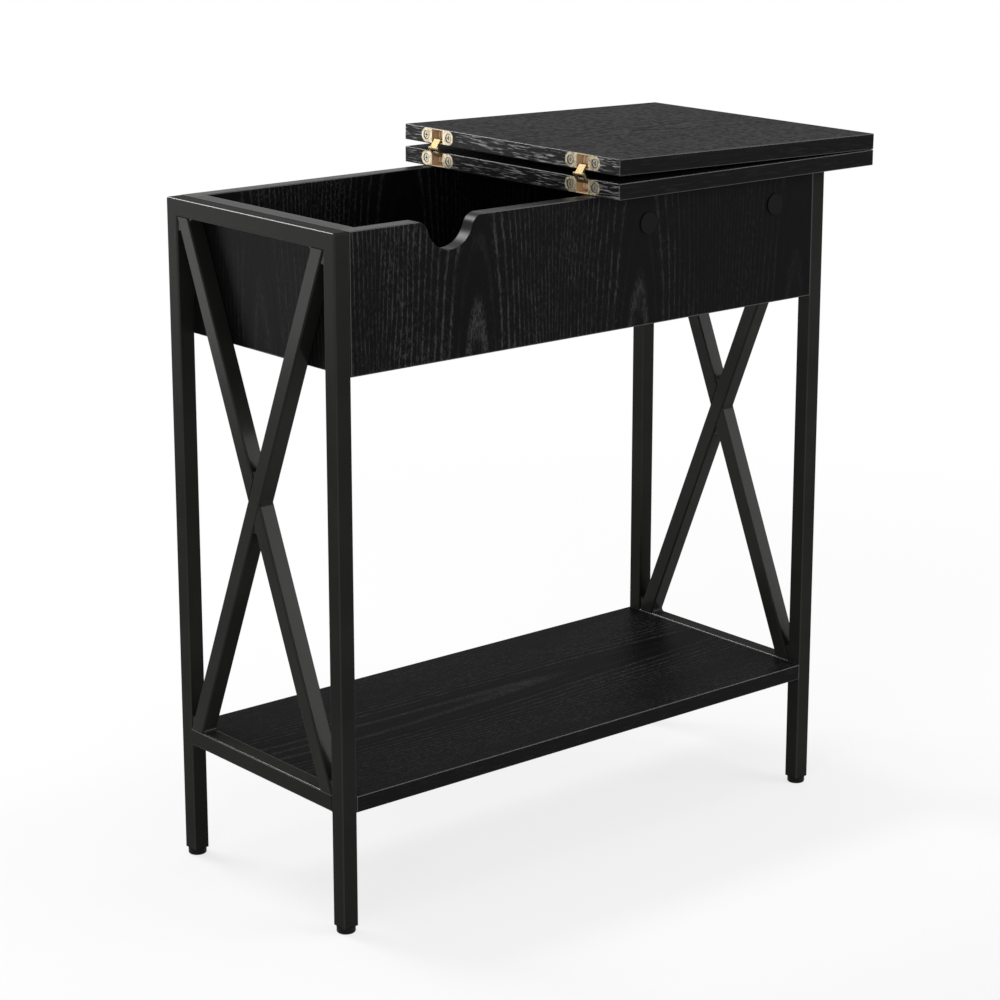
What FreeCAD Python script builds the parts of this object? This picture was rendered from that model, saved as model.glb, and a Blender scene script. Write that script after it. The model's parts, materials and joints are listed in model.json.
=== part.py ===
import FreeCAD, Part
import math
import operator
import os

import Sketcher

# Small end table on a welded steel X frame, with a shallow storage box under the top.
# The top is two boards of one size. Two concealed link hinges join them edge to edge in the
# middle of the table, and the left board (the flap) folds over onto the right one.
#
# X runs along the table, Y from front to back and Z up from the floor. Millimetres.
# The origin is on the floor, in the middle of the bounding box of the open table.
# "Table coordinates" are measured from the middle of the steel frame, at floor level.
# "Hinge coordinates" are measured from the line about which the flap turns.

os.makedirs("parts", exist_ok=True)
doc = FreeCAD.newDocument("flip_top_table")
sheet = doc.addObject("Spreadsheet::Sheet", "sizes")
Vector = FreeCAD.Vector


# ---------------------------------------------------------------- sizes and expressions

class Size:
    """A length as a number, together with the spreadsheet expression that gives it."""

    def __init__(self, value, text):
        self.value = value
        self.text = text

    def __add__(self, other):
        return combined(operator.add, "+", self, other)

    def __radd__(self, other):
        return combined(operator.add, "+", other, self)

    def __sub__(self, other):
        return combined(operator.sub, "-", self, other)

    def __rsub__(self, other):
        return combined(operator.sub, "-", other, self)

    def __mul__(self, other):
        return combined(operator.mul, "*", self, other)

    def __rmul__(self, other):
        return combined(operator.mul, "*", other, self)

    def __truediv__(self, other):
        return combined(operator.truediv, "/", self, other)

    def __neg__(self):
        return combined(operator.sub, "-", 0, self)


def as_size(number):
    if isinstance(number, Size):
        return number
    return Size(float(number), "(%r)" % float(number))


def combined(operation, sign, left, right):
    left = as_size(left)
    right = as_size(right)
    return Size(operation(left.value, right.value), "(%s %s %s)" % (left.text, sign, right.text))


def square_root(size):
    return Size(math.sqrt(size.value), "sqrt(%s)" % size.text)


def sine(degrees):
    return Size(math.sin(math.radians(degrees.value)), "sin(%s * 1 deg)" % degrees.text)


def cosine(degrees):
    return Size(math.cos(math.radians(degrees.value)), "cos(%s * 1 deg)" % degrees.text)


def arc_tangent(rise, run):
    """Angle of a slope, in degrees."""
    rise = as_size(rise)
    run = as_size(run)
    angle = math.degrees(math.atan2(rise.value, run.value))
    return Size(angle, "(atan2(%s; %s) / 1 deg)" % (rise.text, run.text))


def dimension(alias, number, meaning):
    """Write one driving dimension into the next row of the spreadsheet."""
    row = len(driving) + 1
    sheet.set("A%d" % row, meaning)
    sheet.set("B%d" % row, str(number))
    sheet.setAlias("B%d" % row, alias)
    driving.append(alias)
    return Size(float(number), "<<sizes>>." + alias)


driving = []

# Steel frame
tube_width = dimension("tube_width", 15, "outside of the square tube")
tube_wall = dimension("tube_wall", 1.2, "wall of the square tube")
tube_round = dimension("tube_round", 1.5, "outside corner radius of the tube")
tube_corner = dimension("tube_corner", 2, "radius to which the mitred corners are ground")
frame_length = dimension("frame_length", 546, "outside of the frame along X")
frame_depth = dimension("frame_depth", 234, "outside of the frame along Y")
frame_top = dimension("frame_top", 586, "top of the frame above the floor")
leg_bottom = dimension("leg_bottom", 6, "lower end of the legs above the floor")
shelf_bottom = dimension("shelf_bottom", 105, "underside of the shelf and of its rails")
brace_foot = dimension("brace_foot", 16.25, "level cut across a brace tube")
centre_shift = dimension("centre_shift", -17.14, "middle of the frame from the origin, along X")

# Boards
board = dimension("board", 14, "thickness of every board")
arris = dimension("arris", 0.8, "rounding of the board edges")
top_length = dimension("top_length", 615, "whole top along X")
top_depth = dimension("top_depth", 286, "whole top along Y")
top_slit = dimension("top_slit", 1, "slit between the two halves of the closed top")
box_height = dimension("box_height", 116, "height of the storage box panels")
notch_x = dimension("notch_x", -157, "cable notch from the middle of the frame")
notch_radius = dimension("notch_radius", 24, "round bottom of the cable notch")
notch_shoulder = dimension("notch_shoulder", 12, "rounded shoulders of the notch")
notch_drop = dimension("notch_drop", 2, "centre of the notch below the panel's top edge")

# Concealed hinges
hinge_y = dimension("hinge_y", 97, "hinges in front of and behind the middle")
hinge_lift = dimension("hinge_lift", 3.3, "turning line above the fixed top")
flap_lift = dimension("flap_lift", 0.3, "clearance under the closed and the open flap")
cup_length = dimension("cup_length", 44, "hinge cup along the board's edge")
cup_height = dimension("cup_height", 12.6, "hinge cup across the board's edge")
cup_drop = dimension("cup_drop", 10.3, "middle of the cup below the turning line")
cup_flange = dimension("cup_flange", 3, "thickness of the cup's screw flange")
cup_block = dimension("cup_block", 24, "length of the cup's deep middle block")
cup_depth = dimension("cup_depth", 18, "depth of the cup in the board")
slot_width = dimension("slot_width", 15, "slot for the links, along the edge")
slot_height = dimension("slot_height", 11.3, "slot for the links, across the edge")
slot_depth = dimension("slot_depth", 16.5, "slot for the links, into the board")
link_pack = dimension("link_pack", 13, "width of the interleaved links")
link_cheek = dimension("link_cheek", 2, "thickness of the lower link's two cheeks")
link_play = dimension("link_play", 0.25, "gap beside the upper link's tongue")
link_half = dimension("link_half", 1.4, "half the thickness of a link")
pivot_in = dimension("pivot_in", 3, "link pivot from the slit, into the board")
pivot_drop = dimension("pivot_drop", 6.2, "link pivot below the turning line")
middle_drop = dimension("middle_drop", 14.2, "middle joint below the turning line, closed")
elbow_out = dimension("elbow_out", 0.6, "elbow of the open link, out of the board")
elbow_drop = dimension("elbow_drop", 6.4, "elbow of the open link below the turning line")
pin_diameter = dimension("pin_diameter", 1.6, "pins and rivets of the links")
pin_play = dimension("pin_play", 0.1, "radial clearance of the links on their pins")
pin_grip = dimension("pin_grip", 3, "length of a pin in each wall of the cup")
cup_screw_y = dimension("cup_screw_y", 15.4, "cup screws beside the hinge's middle")
cup_screw_head = dimension("cup_screw_head", 7, "head of a cup screw")
cup_screw_shank = dimension("cup_screw_shank", 3.5, "shank of a cup screw")
cup_screw_length = dimension("cup_screw_length", 18, "length of a cup screw")
head_recess = dimension("head_recess", 0.4, "depth of a cup screw's head below the flange")
shave_out = dimension("shave_out", 0.9, "shaved side of a link from the turning line")
shave_drop = dimension("shave_drop", 7.75, "the same point below the turning line")
shave_lean = dimension("shave_lean", 35, "degrees by which that side leans outwards")
shave_block = dimension("shave_block", 4, "thickness of what the shaving takes away")
shave_rise = dimension("shave_rise", 12, "length of the shaved side above that point")
shave_fall = dimension("shave_fall", 2, "length of the shaved side below that point")

# Fasteners
cross_span = dimension("cross_span", 0.62, "length of a cross recess in a screw's head, as a share")
cross_breadth = dimension("cross_breadth", 0.14, "breadth of its arms, as a share of the head")
cross_depth = dimension("cross_depth", 0.18, "its depth, as a share of the head")
cam_diameter = dimension("cam_diameter", 15, "cam locks")
cam_depth = dimension("cam_depth", 12, "thickness of the cam locks")
cam_edge = dimension("cam_edge", 24, "box cam locks from the board's end")
top_cam_drop = dimension("top_cam_drop", 28, "top cam locks below the panel's top edge")
top_cam_near = dimension("top_cam_near", 58, "first top cam lock from the middle")
top_cam_far = dimension("top_cam_far", 210, "second top cam lock from the middle")
bolt_diameter = dimension("bolt_diameter", 7, "plain stem of the cam bolts")
bolt_thread = dimension("bolt_thread", 5, "threaded end of the cam bolts")
bolt_bite = dimension("bolt_bite", 10, "threaded end of the cam bolts, in the board")
bolt_reach = dimension("bolt_reach", 4, "bolt stem inside the cam lock")
cap_diameter = dimension("cap_diameter", 18.5, "cover caps over the top cam locks")
cap_thickness = dimension("cap_thickness", 1.2, "cover caps")
dowel_diameter = dimension("dowel_diameter", 6, "wooden dowels")
dowel_bite = dimension("dowel_bite", 9, "dowel in the long panels")
dowel_length = dimension("dowel_length", 26, "length of a dowel")
dowel_spread = dimension("dowel_spread", 32, "dowels above and below the middle of the box")
floor_cam_x = dimension("floor_cam_x", 100, "floor cam locks from the middle")
floor_dowel_x = dimension("floor_dowel_x", 200, "floor dowels from the middle")
box_screw_y = dimension("box_screw_y", 70, "outer box screws from the middle")
box_screw_diameter = dimension("box_screw_diameter", 6, "machine screws, box to frame")
box_screw_hole = dimension("box_screw_hole", 6.6, "their holes in the end panels")
box_screw_head = dimension("box_screw_head", 12, "head of a box screw")
box_head_height = dimension("box_head_height", 3, "height of that head")
rail_nut_diameter = dimension("rail_nut_diameter", 9, "threaded inserts in the top rails")
rail_nut_length = dimension("rail_nut_length", 10, "length of a threaded insert")
bracket_length = dimension("bracket_length", 28, "shelf bracket along X")
bracket_width = dimension("bracket_width", 24, "shelf bracket along Y")
bracket_plate = dimension("bracket_plate", 1.5, "thickness of a shelf bracket")
bracket_y = dimension("bracket_y", 75, "shelf brackets from the middle")
shelf_screw_diameter = dimension("shelf_screw_diameter", 4, "shelf screws")
shelf_screw_bite = dimension("shelf_screw_bite", 10, "shelf screw in the shelf")
shelf_screw_head = dimension("shelf_screw_head", 8, "head of a shelf screw")
shelf_head_height = dimension("shelf_head_height", 2.4, "height of that head")
shelf_screw_in = dimension("shelf_screw_in", 10, "shelf screw from the shelf's end")

# Levelling feet
foot_diameter = dimension("foot_diameter", 16, "foot pad")
foot_gap = dimension("foot_gap", 0.3, "foot pad below the leg when screwed in")
foot_round = dimension("foot_round", 1.5, "rounding of the foot pad's lower rim")
stud_diameter = dimension("stud_diameter", 6, "threaded stud of a foot")
stud_play = dimension("stud_play", 0.05, "radial clearance of the stud in its insert")
stud_root = dimension("stud_root", 2.7, "lower end of the stud, inside the pad")
stud_top = dimension("stud_top", 22, "upper end of the stud above the floor")
insert_length = dimension("insert_length", 18, "plastic insert in the leg's end")
doc.recompute()

# Sizes worked out from the driving ones
leg_x = (frame_length - tube_width) / 2
leg_y = (frame_depth - tube_width) / 2
inner_x = frame_length / 2 - tube_width
inner_y = frame_depth / 2 - tube_width
rail_bottom = frame_top - tube_width
shelf_rail_top = shelf_bottom + tube_width
panel_y = (frame_depth - board) / 2
box_bottom = frame_top - box_height
box_middle = frame_top - box_height / 2
box_inner_y = frame_depth / 2 - board
end_panel_x = inner_x - board / 2
floor_length = 2 * (inner_x - board)
half_length = (top_length - top_slit) / 2
closed_top = frame_top + board
hinge_height = closed_top + hinge_lift
flap_top_drop = hinge_lift - flap_lift
flap_tilt = 2 * arc_tangent(flap_top_drop, top_length / 2)
flap_turn = 180 + flap_tilt


# ---------------------------------------------------------------- places

class Seat:
    """A position and turn, kept as a placement expression that can be carried further."""

    def __init__(self, text=""):
        self.text = text

    def moved(self, x, y, z, axis="0; 0; 1", angle=0):
        where = "; ".join(as_size(number).text for number in (x, y, z))
        turn = "rotation(vector(%s); %s)" % (axis, as_size(angle).text)
        step = "placement(vector(%s); %s)" % (where, turn)
        return Seat(self.text + " * " + step if self.text else step)

    def facing(self, direction):
        """Turn the seat so that its own +Z points along one of the six directions."""
        axis, angle = FACINGS[direction]
        return self.moved(0, 0, 0, axis, angle)

    def hold(self, part):
        part.setExpression("Placement", self.text)


FACINGS = {
    "+Z": ("0; 0; 1", 0),
    "-Z": ("1; 0; 0", 180),
    "+X": ("0; 1; 0", 90),
    "-X": ("0; 1; 0", -90),
    "+Y": ("1; 0; 0", -90),
    "-Y": ("1; 0; 0", 90),
}
TABLE = Seat().moved(centre_shift, 0, 0)
FLAP = Seat().moved(centre_shift, 0, hinge_height, "0; 1; 0", flap_turn)
nodes = []


def finish(label, part):
    """Name a finished piece and add it to those that are written."""
    part.Label = label
    nodes.append(part)


# ---------------------------------------------------------------- drawing and solid helpers

def point(pair):
    return Vector(as_size(pair[0]).value, as_size(pair[1]).value, 0)


def new_body(name):
    return doc.addObject("PartDesign::Body", name)


def new_sketch(body, role, offset=None):
    """Sketch on one of the body's own planes, or parallel to it at an offset."""
    sketch = body.newObject("Sketcher::SketchObject", body.Name + "_sketch")
    plane = next(item for item in body.Origin.OriginFeatures if item.Role == role)
    sketch.AttachmentSupport = [(plane, "")]
    sketch.MapMode = "FlatFace"
    if offset is not None:
        sketch.setExpression("AttachmentOffset.Base.z", as_size(offset).text)
    return sketch


def bind(sketch, kind, geometry, size):
    """Add a constraint whose value is an expression; geometry is its list of references."""
    size = as_size(size)
    number = sketch.addConstraint(Sketcher.Constraint(kind, *geometry, size.value))
    sketch.setExpression("Constraints[%d]" % number, size.text)


def draw(sketch, corners, arcs=None):
    """Closed outline through the corners.

    arcs maps the number of a corner to (centre, radius, clockwise) of the arc that leaves it;
    every other side is straight.
    """
    arcs = arcs or {}
    count = len(corners)
    ends = []
    for number, corner in enumerate(corners):
        following = corners[(number + 1) % count]
        if number in arcs:
            centre, radius, clockwise = arcs[number]
            pair = (following, corner) if clockwise else (corner, following)
            circle = Part.Circle(point(centre), Vector(0, 0, 1), as_size(radius).value)
            spokes = [point(end) - point(centre) for end in pair]
            start, stop = [math.atan2(spoke.y, spoke.x) for spoke in spokes]
            if stop < start:
                stop += 2 * math.pi
            sketch.addGeometry(Part.ArcOfCircle(circle, start, stop), False)
            ends.append((2, 1) if clockwise else (1, 2))
        else:
            sketch.addGeometry(Part.LineSegment(point(corner), point(following)), False)
            ends.append((1, 2))
    for number in range(count):
        after = (number + 1) % count
        joint = Sketcher.Constraint("Coincident", number, ends[number][1], after, ends[after][0])
        sketch.addConstraint(joint)
    for number, corner in enumerate(corners):
        bind(sketch, "DistanceX", (-1, 1, number, ends[number][0]), corner[0])
        bind(sketch, "DistanceY", (-1, 1, number, ends[number][0]), corner[1])
        if number in arcs:
            bind(sketch, "Radius", (number,), arcs[number][1])


def rectangle(width, height):
    """Corners of a rectangle about the sketch's origin."""
    return [
        (-width / 2, -height / 2),
        (width / 2, -height / 2),
        (width / 2, height / 2),
        (-width / 2, height / 2),
    ]


def add_pad(body, sketch, length, midplane=False, backwards=False):
    feature = body.newObject("PartDesign::Pad", body.Name + "_pad")
    feature.Profile = sketch
    feature.setExpression("Length", as_size(length).text)
    feature.Midplane = midplane
    feature.Reversed = backwards
    doc.recompute()
    return feature


def add_pocket(body, sketch, depth, midplane=False, backwards=False):
    before = body.Tip.Shape.Volume
    feature = body.newObject("PartDesign::Pocket", body.Name + "_pocket")
    feature.Profile = sketch
    feature.setExpression("Length", as_size(depth).text)
    feature.Midplane = midplane
    feature.Reversed = backwards
    doc.recompute()
    if feature.Shape.Volume > before - 1:
        raise RuntimeError("the pocket cuts nothing in " + body.Name)
    return feature


def add_fillet(body, base, radius, wanted):
    """Round the edges of the base feature for which wanted(edge) is true."""
    edges = enumerate(base.Shape.Edges, 1)
    chosen = ["Edge%d" % number for number, edge in edges if wanted(edge)]
    feature = body.newObject("PartDesign::Fillet", body.Name + "_fillet")
    feature.Base = (base, chosen)
    feature.setExpression("Radius", as_size(radius).text)
    doc.recompute()
    return feature


def rod(seat, diameter, length):
    """Cylinder from the seat along its +Z."""
    cylinder = doc.addObject("Part::Cylinder", "rod")
    cylinder.setExpression("Radius", as_size(diameter / 2).text)
    cylinder.setExpression("Height", as_size(length).text)
    seat.hold(cylinder)
    return cylinder


def block(seat, length, depth, height):
    """Box centred on the seat in X and Y, standing on it."""
    box = doc.addObject("Part::Box", "block")
    for name, size in (("Length", length), ("Width", depth), ("Height", height)):
        box.setExpression(name, as_size(size).text)
    seat.moved(-length / 2, -depth / 2, 0).hold(box)
    return box


def cross(seat, head):
    """Recess for a cross-head driver in a head of that diameter, from its face along +Z."""
    span = head * cross_span
    breadth = head * cross_breadth
    deep = head * cross_depth
    return [block(seat, span, breadth, deep), block(seat, breadth, span, deep)]


def joined(parts):
    fusion = doc.addObject("Part::MultiFuse", "joined")
    fusion.Shapes = parts
    return fusion


def cut(base, tools):
    cutting = doc.addObject("Part::Cut", "cut")
    cutting.Base = base
    cutting.Tool = tools[0] if len(tools) == 1 else joined(tools)
    return cutting


# ---------------------------------------------------------------- steel frame

def tube(side, outline, void, arcs=None):
    """Square tube that lies in an end frame; the outline's first side runs along the tube."""
    body = new_body("tube")
    profile = new_sketch(body, "YZ_Plane")
    draw(profile, outline, arcs)
    solid = add_pad(body, profile, tube_width, midplane=True)
    run = (point(outline[1]) - point(outline[0])).normalize()
    along = Vector(0, run.x, run.y)

    def runs_along(edge):
        return abs(edge.tangentAt(edge.FirstParameter).dot(along)) > 0.999

    add_fillet(body, solid, tube_round, runs_along)
    bore = new_sketch(body, "YZ_Plane")
    draw(bore, void)
    add_pocket(body, bore, tube_width - 2 * tube_wall, midplane=True)
    TABLE.moved(side * leg_x, 0, 0).hold(body)
    return body


def mirrored(corners):
    return [(-y, z) for y, z in corners]


def upended(corners):
    """Half turn of an outline about the crossing point of the braces."""
    return [(-y, shelf_rail_top + rail_bottom - z) for y, z in corners]


def leg_outline(inset):
    """Front leg, mitred at the top where it meets the top rail."""
    outer = -frame_depth / 2 + inset
    inner = -inner_y - inset
    return [
        (outer, leg_bottom),
        (outer, frame_top - inset),
        (inner, rail_bottom + inset),
        (inner, leg_bottom),
    ]


def top_rail_outline(inset):
    outer = frame_depth / 2 - inset
    inner = inner_y + inset
    return [
        (-outer, frame_top - inset),
        (outer, frame_top - inset),
        (inner, rail_bottom + inset),
        (-inner, rail_bottom + inset),
    ]


corner_slack = tube_corner * (1 - math.sqrt(0.5))


def corner_arc(end, clockwise):
    """Arc round the mitred corner at the front, -1, or the rear, 1."""
    reach = end * (frame_depth / 2 - tube_corner)
    return ((reach, frame_top - tube_corner), tube_corner, clockwise)


def ground_leg_outline():
    """Outside of the front leg, with its half of the rounded corner."""
    outer = -frame_depth / 2
    start = (outer, frame_top - tube_corner)
    stop = (outer + corner_slack, frame_top - corner_slack)
    plain = leg_outline(0)
    return [plain[0], start, stop] + plain[2:]


def ground_rail_outline():
    """Outside of the top rail, with its half of both rounded corners."""
    outer = frame_depth / 2 - corner_slack
    flat = frame_depth / 2 - tube_corner
    tip_z = frame_top - corner_slack
    above = [(-flat, frame_top), (flat, frame_top), (outer, tip_z)]
    return above + top_rail_outline(0)[2:] + [(-outer, tip_z)]


def shelf_rail_outline(inset):
    return [
        (-inner_y, shelf_bottom + inset),
        (inner_y, shelf_bottom + inset),
        (inner_y, shelf_rail_top - inset),
        (-inner_y, shelf_rail_top - inset),
    ]


brace_height = rail_bottom - shelf_rail_top
brace_run = 2 * inner_y - brace_foot
brace_slope = brace_run / brace_height
brace_wall = tube_wall * brace_foot / tube_width


def brace_y(z, shift):
    """A line along the brace that runs down from the top front corner to the back."""
    return (rail_bottom - z) * brace_slope - inner_y + shift


def brace_z(y):
    """Height at which the front edge of that brace reaches y."""
    return rail_bottom - (y + inner_y) / brace_slope


def long_brace_outline(inset):
    near = inset
    far = brace_foot - inset
    return [
        (brace_y(shelf_rail_top, near), shelf_rail_top),
        (brace_y(rail_bottom, near), rail_bottom),
        (brace_y(rail_bottom, far), rail_bottom),
        (brace_y(shelf_rail_top, far), shelf_rail_top),
    ]


def upper_brace_outline(inset):
    """Half brace from the top back corner down to the long brace."""
    near = inset
    far = brace_foot - inset
    near_end = -(brace_foot + near) / 2
    far_end = -(brace_foot + far) / 2
    return [
        (-brace_y(rail_bottom, near), rail_bottom),
        (near_end + brace_foot, brace_z(near_end)),
        (far_end + brace_foot, brace_z(far_end)),
        (-brace_y(rail_bottom, far), rail_bottom),
    ]


def sides():
    return [("left", -1), ("right", 1)]


for side_name, side in sides():
    leg = ground_leg_outline()
    leg_void = leg_outline(tube_wall)
    front_leg = tube(side, leg, leg_void, {1: corner_arc(-1, True)})
    finish(side_name + "_front_leg", front_leg)
    rear_leg = tube(side, mirrored(leg), mirrored(leg_void), {1: corner_arc(1, False)})
    finish(side_name + "_rear_leg", rear_leg)
    shelf_rail = tube(side, shelf_rail_outline(0), shelf_rail_outline(tube_wall))
    finish(side_name + "_shelf_rail", shelf_rail)
    long_brace = tube(side, long_brace_outline(0), long_brace_outline(brace_wall))
    finish(side_name + "_long_brace", long_brace)
    half = upper_brace_outline(0)
    half_void = upper_brace_outline(brace_wall)
    finish(side_name + "_upper_brace", tube(side, half, half_void))
    finish(side_name + "_lower_brace", tube(side, upended(half), upended(half_void)))


# ---------------------------------------------------------------- cam locks and their bolts

def cam_bolt(seat, stem, bite):
    """Bolt along the seat's +Z: a thread in one board, then the stem towards the cam lock."""
    thread = rod(seat.moved(0, 0, -bite), bolt_thread, bite)
    return [thread, rod(seat, bolt_diameter, stem)]


def box_corners():
    """The four corners of the storage box as pairs of X and Y signs."""
    return [(x, y) for x in (-1, 1) for y in (-1, 1)]


def inwards(sign, axis):
    return ("-" if sign > 0 else "+") + axis


def outwards(sign, axis):
    return ("+" if sign > 0 else "-") + axis


top_cams = []
top_bolts = []
caps = []
for x in (top_cam_near, top_cam_far):
    for y in (-1, 1):
        face = TABLE.moved(x, y * frame_depth / 2, frame_top - top_cam_drop)
        top_cams.append(rod(face.facing(inwards(y, "Y")), cam_diameter, cam_depth))
        caps.append(rod(face.facing(outwards(y, "Y")), cap_diameter, cap_thickness))
        bolt_seat = TABLE.moved(x, y * panel_y, frame_top).facing("-Z")
        stem = top_cam_drop - cam_diameter / 2 + bolt_reach
        top_bolts.extend(cam_bolt(bolt_seat, stem, bolt_bite))

box_cams = []
cam_crosses = []
box_bolts = []
dowels = []
dowel_end = box_inner_y + dowel_bite
cam_y = box_inner_y - cam_edge
box_stem = cam_edge - cam_diameter / 2 + bolt_reach
for x, y in box_corners():
    # End panels to the long panels: a cam lock in the end panel's inner face, and two dowels
    face = TABLE.moved(x * (inner_x - board), y * cam_y, box_middle).facing(outwards(x, "X"))
    box_cams.append(rod(face, cam_diameter, cam_depth))
    cam_crosses.extend(cross(face, cam_diameter))
    meeting = TABLE.moved(x * end_panel_x, y * box_inner_y, box_middle)
    box_bolts.extend(cam_bolt(meeting.facing(inwards(y, "Y")), box_stem, bolt_bite))
    for z in (-1, 1):
        end = TABLE.moved(x * end_panel_x, y * dowel_end, box_middle + z * dowel_spread)
        dowels.append(rod(end.facing(inwards(y, "Y")), dowel_diameter, dowel_length))
    # Box floor to the long panels: a cam lock in its underside, and a dowel
    under = TABLE.moved(x * floor_cam_x, y * cam_y, box_bottom)
    box_cams.append(rod(under, cam_diameter, cam_depth))
    cam_crosses.extend(cross(under, cam_diameter))
    meeting = TABLE.moved(x * floor_cam_x, y * box_inner_y, box_bottom + board / 2)
    box_bolts.extend(cam_bolt(meeting.facing(inwards(y, "Y")), box_stem, bolt_bite))
    end = TABLE.moved(x * floor_dowel_x, y * dowel_end, box_bottom + board / 2)
    dowels.append(rod(end.facing(inwards(y, "Y")), dowel_diameter, dowel_length))

top_cam_set = joined(top_cams)
top_bolt_set = joined(top_bolts)
box_cam_set = joined(box_cams)
box_bolt_set = joined(box_bolts)
dowel_set = joined(dowels)
cap_set = joined(caps)
finish("top_cam_locks", cut(top_cam_set, [top_bolt_set]))
finish("box_cam_locks", cut(box_cam_set, [box_bolt_set] + cam_crosses))


# ---------------------------------------------------------------- screws, box to frame

box_screws = []
box_crosses = []
screw_holes = []
rail_nuts = []
nut_holes = []
screw_z = rail_bottom + tube_width / 2
screw_length = board + rail_nut_length
for x in (-1, 1):
    for row in (-1, 0, 1):
        inside = TABLE.moved(x * (inner_x - board), row * box_screw_y, screw_z)
        outward = inside.facing(outwards(x, "X"))
        box_screws.append(rod(outward, box_screw_diameter, screw_length))
        head_seat = outward.moved(0, 0, -box_head_height)
        box_screws.append(rod(head_seat, box_screw_head, box_head_height))
        box_crosses.extend(cross(head_seat, box_screw_head))
        screw_holes.append(rod(outward, box_screw_hole, board))
        nut_seat = outward.moved(0, 0, board)
        rail_nuts.append(rod(nut_seat, rail_nut_diameter, rail_nut_length))
        nut_holes.append(rod(nut_seat, rail_nut_diameter, 2 * tube_wall))

box_screw_set = joined(box_screws)
finish("rail_nuts", cut(joined(rail_nuts), [box_screw_set]))
for side_name, side in sides():
    rail_arcs = {1: corner_arc(1, True), 5: corner_arc(-1, True)}
    top_rail = tube(side, ground_rail_outline(), top_rail_outline(tube_wall), rail_arcs)
    finish(side_name + "_top_rail", cut(top_rail, nut_holes))


# ---------------------------------------------------------------- box panels, floor and shelf

def upper_arris(edge):
    """Long edges of a panel at its top, away from its ends."""
    return edge.BoundBox.ZMin > box_middle.value and edge.BoundBox.YLength < 0.01


def front_panel_outline():
    """Panel with the cable notch: a round bottom between two rounded shoulders."""
    centre_z = frame_top - notch_drop
    shoulder_z = frame_top - notch_shoulder
    reach = notch_radius + notch_shoulder
    fall = centre_z - shoulder_z
    spread = square_root(reach * reach - fall * fall)
    share = notch_radius / reach
    meet_z = centre_z - fall * share
    left = notch_x - spread
    right = notch_x + spread
    corners = [
        (-inner_x, box_bottom),
        (inner_x, box_bottom),
        (inner_x, frame_top),
        (right, frame_top),
        (notch_x + spread * share, meet_z),
        (notch_x - spread * share, meet_z),
        (left, frame_top),
        (-inner_x, frame_top),
    ]
    arcs = {
        3: ((right, shoulder_z), notch_shoulder, False),
        4: ((notch_x, centre_z), notch_radius, True),
        5: ((left, shoulder_z), notch_shoulder, False),
    }
    return corners, arcs


def long_panel(label, y, outline, arcs):
    body = new_body(label + "_blank")
    profile = new_sketch(body, "XZ_Plane")
    draw(profile, outline, arcs)
    solid = add_pad(body, profile, board, midplane=True)
    add_fillet(body, solid, arris, upper_arris)
    TABLE.moved(0, y * panel_y, 0).hold(body)
    tools = [top_cam_set, top_bolt_set, box_bolt_set, dowel_set]
    finish(label, cut(body, tools))


def end_panel(label, x):
    body = new_body(label + "_blank")
    profile = new_sketch(body, "YZ_Plane")
    draw(profile, rectangle(2 * box_inner_y, box_height))
    add_pad(body, profile, board, midplane=True)
    TABLE.moved(x * end_panel_x, 0, box_middle).hold(body)
    tools = [box_cam_set, box_bolt_set, dowel_set] + screw_holes
    finish(label, cut(body, tools))


def flat_board(name, length, depth, wanted):
    """Board on the body's XY plane, with the chosen edges rounded."""
    body = new_body(name)
    profile = new_sketch(body, "XY_Plane")
    draw(profile, rectangle(length, depth))
    solid = add_pad(body, profile, board)
    if wanted:
        add_fillet(body, solid, arris, wanted)
    return body


def every_edge(edge):
    return True


def long_edge(edge):
    """Edges along the front and the back of a board."""
    return edge.BoundBox.YLength < 0.01 and edge.BoundBox.ZLength < 0.01


panel_outline, notch_arcs = front_panel_outline()
plain_outline = [panel_outline[number] for number in (0, 1, 2, 7)]
long_panel("front_panel", -1, panel_outline, notch_arcs)
long_panel("rear_panel", 1, plain_outline, None)
end_panel("left_end_panel", -1)
end_panel("right_end_panel", 1)

floor_blank = flat_board("box_floor_blank", floor_length, 2 * box_inner_y, None)
TABLE.moved(0, 0, box_bottom).hold(floor_blank)
finish("box_floor", cut(floor_blank, [box_cam_set, box_bolt_set, dowel_set]))

shelf_screws = []
shelf_crosses = []
brackets = []
bracket_top = TABLE.moved(0, 0, shelf_bottom).facing("-Z")
bracket_x = frame_length / 2 - bracket_length / 2 - tube_width / 3
shelf_screw_x = inner_x - shelf_screw_in
for x, y in box_corners():
    brackets.append(block(
        bracket_top.moved(x * bracket_x, y * bracket_y, 0),
        bracket_length, bracket_width, bracket_plate,
    ))
    into_shelf = TABLE.moved(x * shelf_screw_x, y * bracket_y, shelf_bottom - bracket_plate)
    shank = bracket_plate + shelf_screw_bite
    shelf_screws.append(rod(into_shelf, shelf_screw_diameter, shank))
    head_seat = into_shelf.moved(0, 0, -shelf_head_height)
    shelf_screws.append(rod(head_seat, shelf_screw_head, shelf_head_height))
    shelf_crosses.extend(cross(head_seat, shelf_screw_head))
shelf_screw_set = joined(shelf_screws)
finish("shelf_brackets", cut(joined(brackets), [shelf_screw_set]))

shelf_blank = flat_board("shelf_blank", 2 * inner_x, frame_depth, long_edge)
TABLE.moved(0, 0, shelf_bottom).hold(shelf_blank)
finish("shelf", cut(shelf_blank, [shelf_screw_set]))


# ---------------------------------------------------------------- concealed hinges
# The fixed half of a hinge lies at +X of the turning line, the flap's half is its mirror image.

def cup_blank(into):
    """Cup before its slot and holes: a screw flange with round ends and a deep block."""
    straight = cup_length - cup_height
    parts = [
        block(into, cup_height, straight, cup_flange),
        block(into, cup_height, cup_block, cup_depth),
    ]
    for y in (-1, 1):
        parts.append(rod(into.moved(0, y * straight / 2, 0), cup_height, cup_flange))
    return joined(parts)


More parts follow.
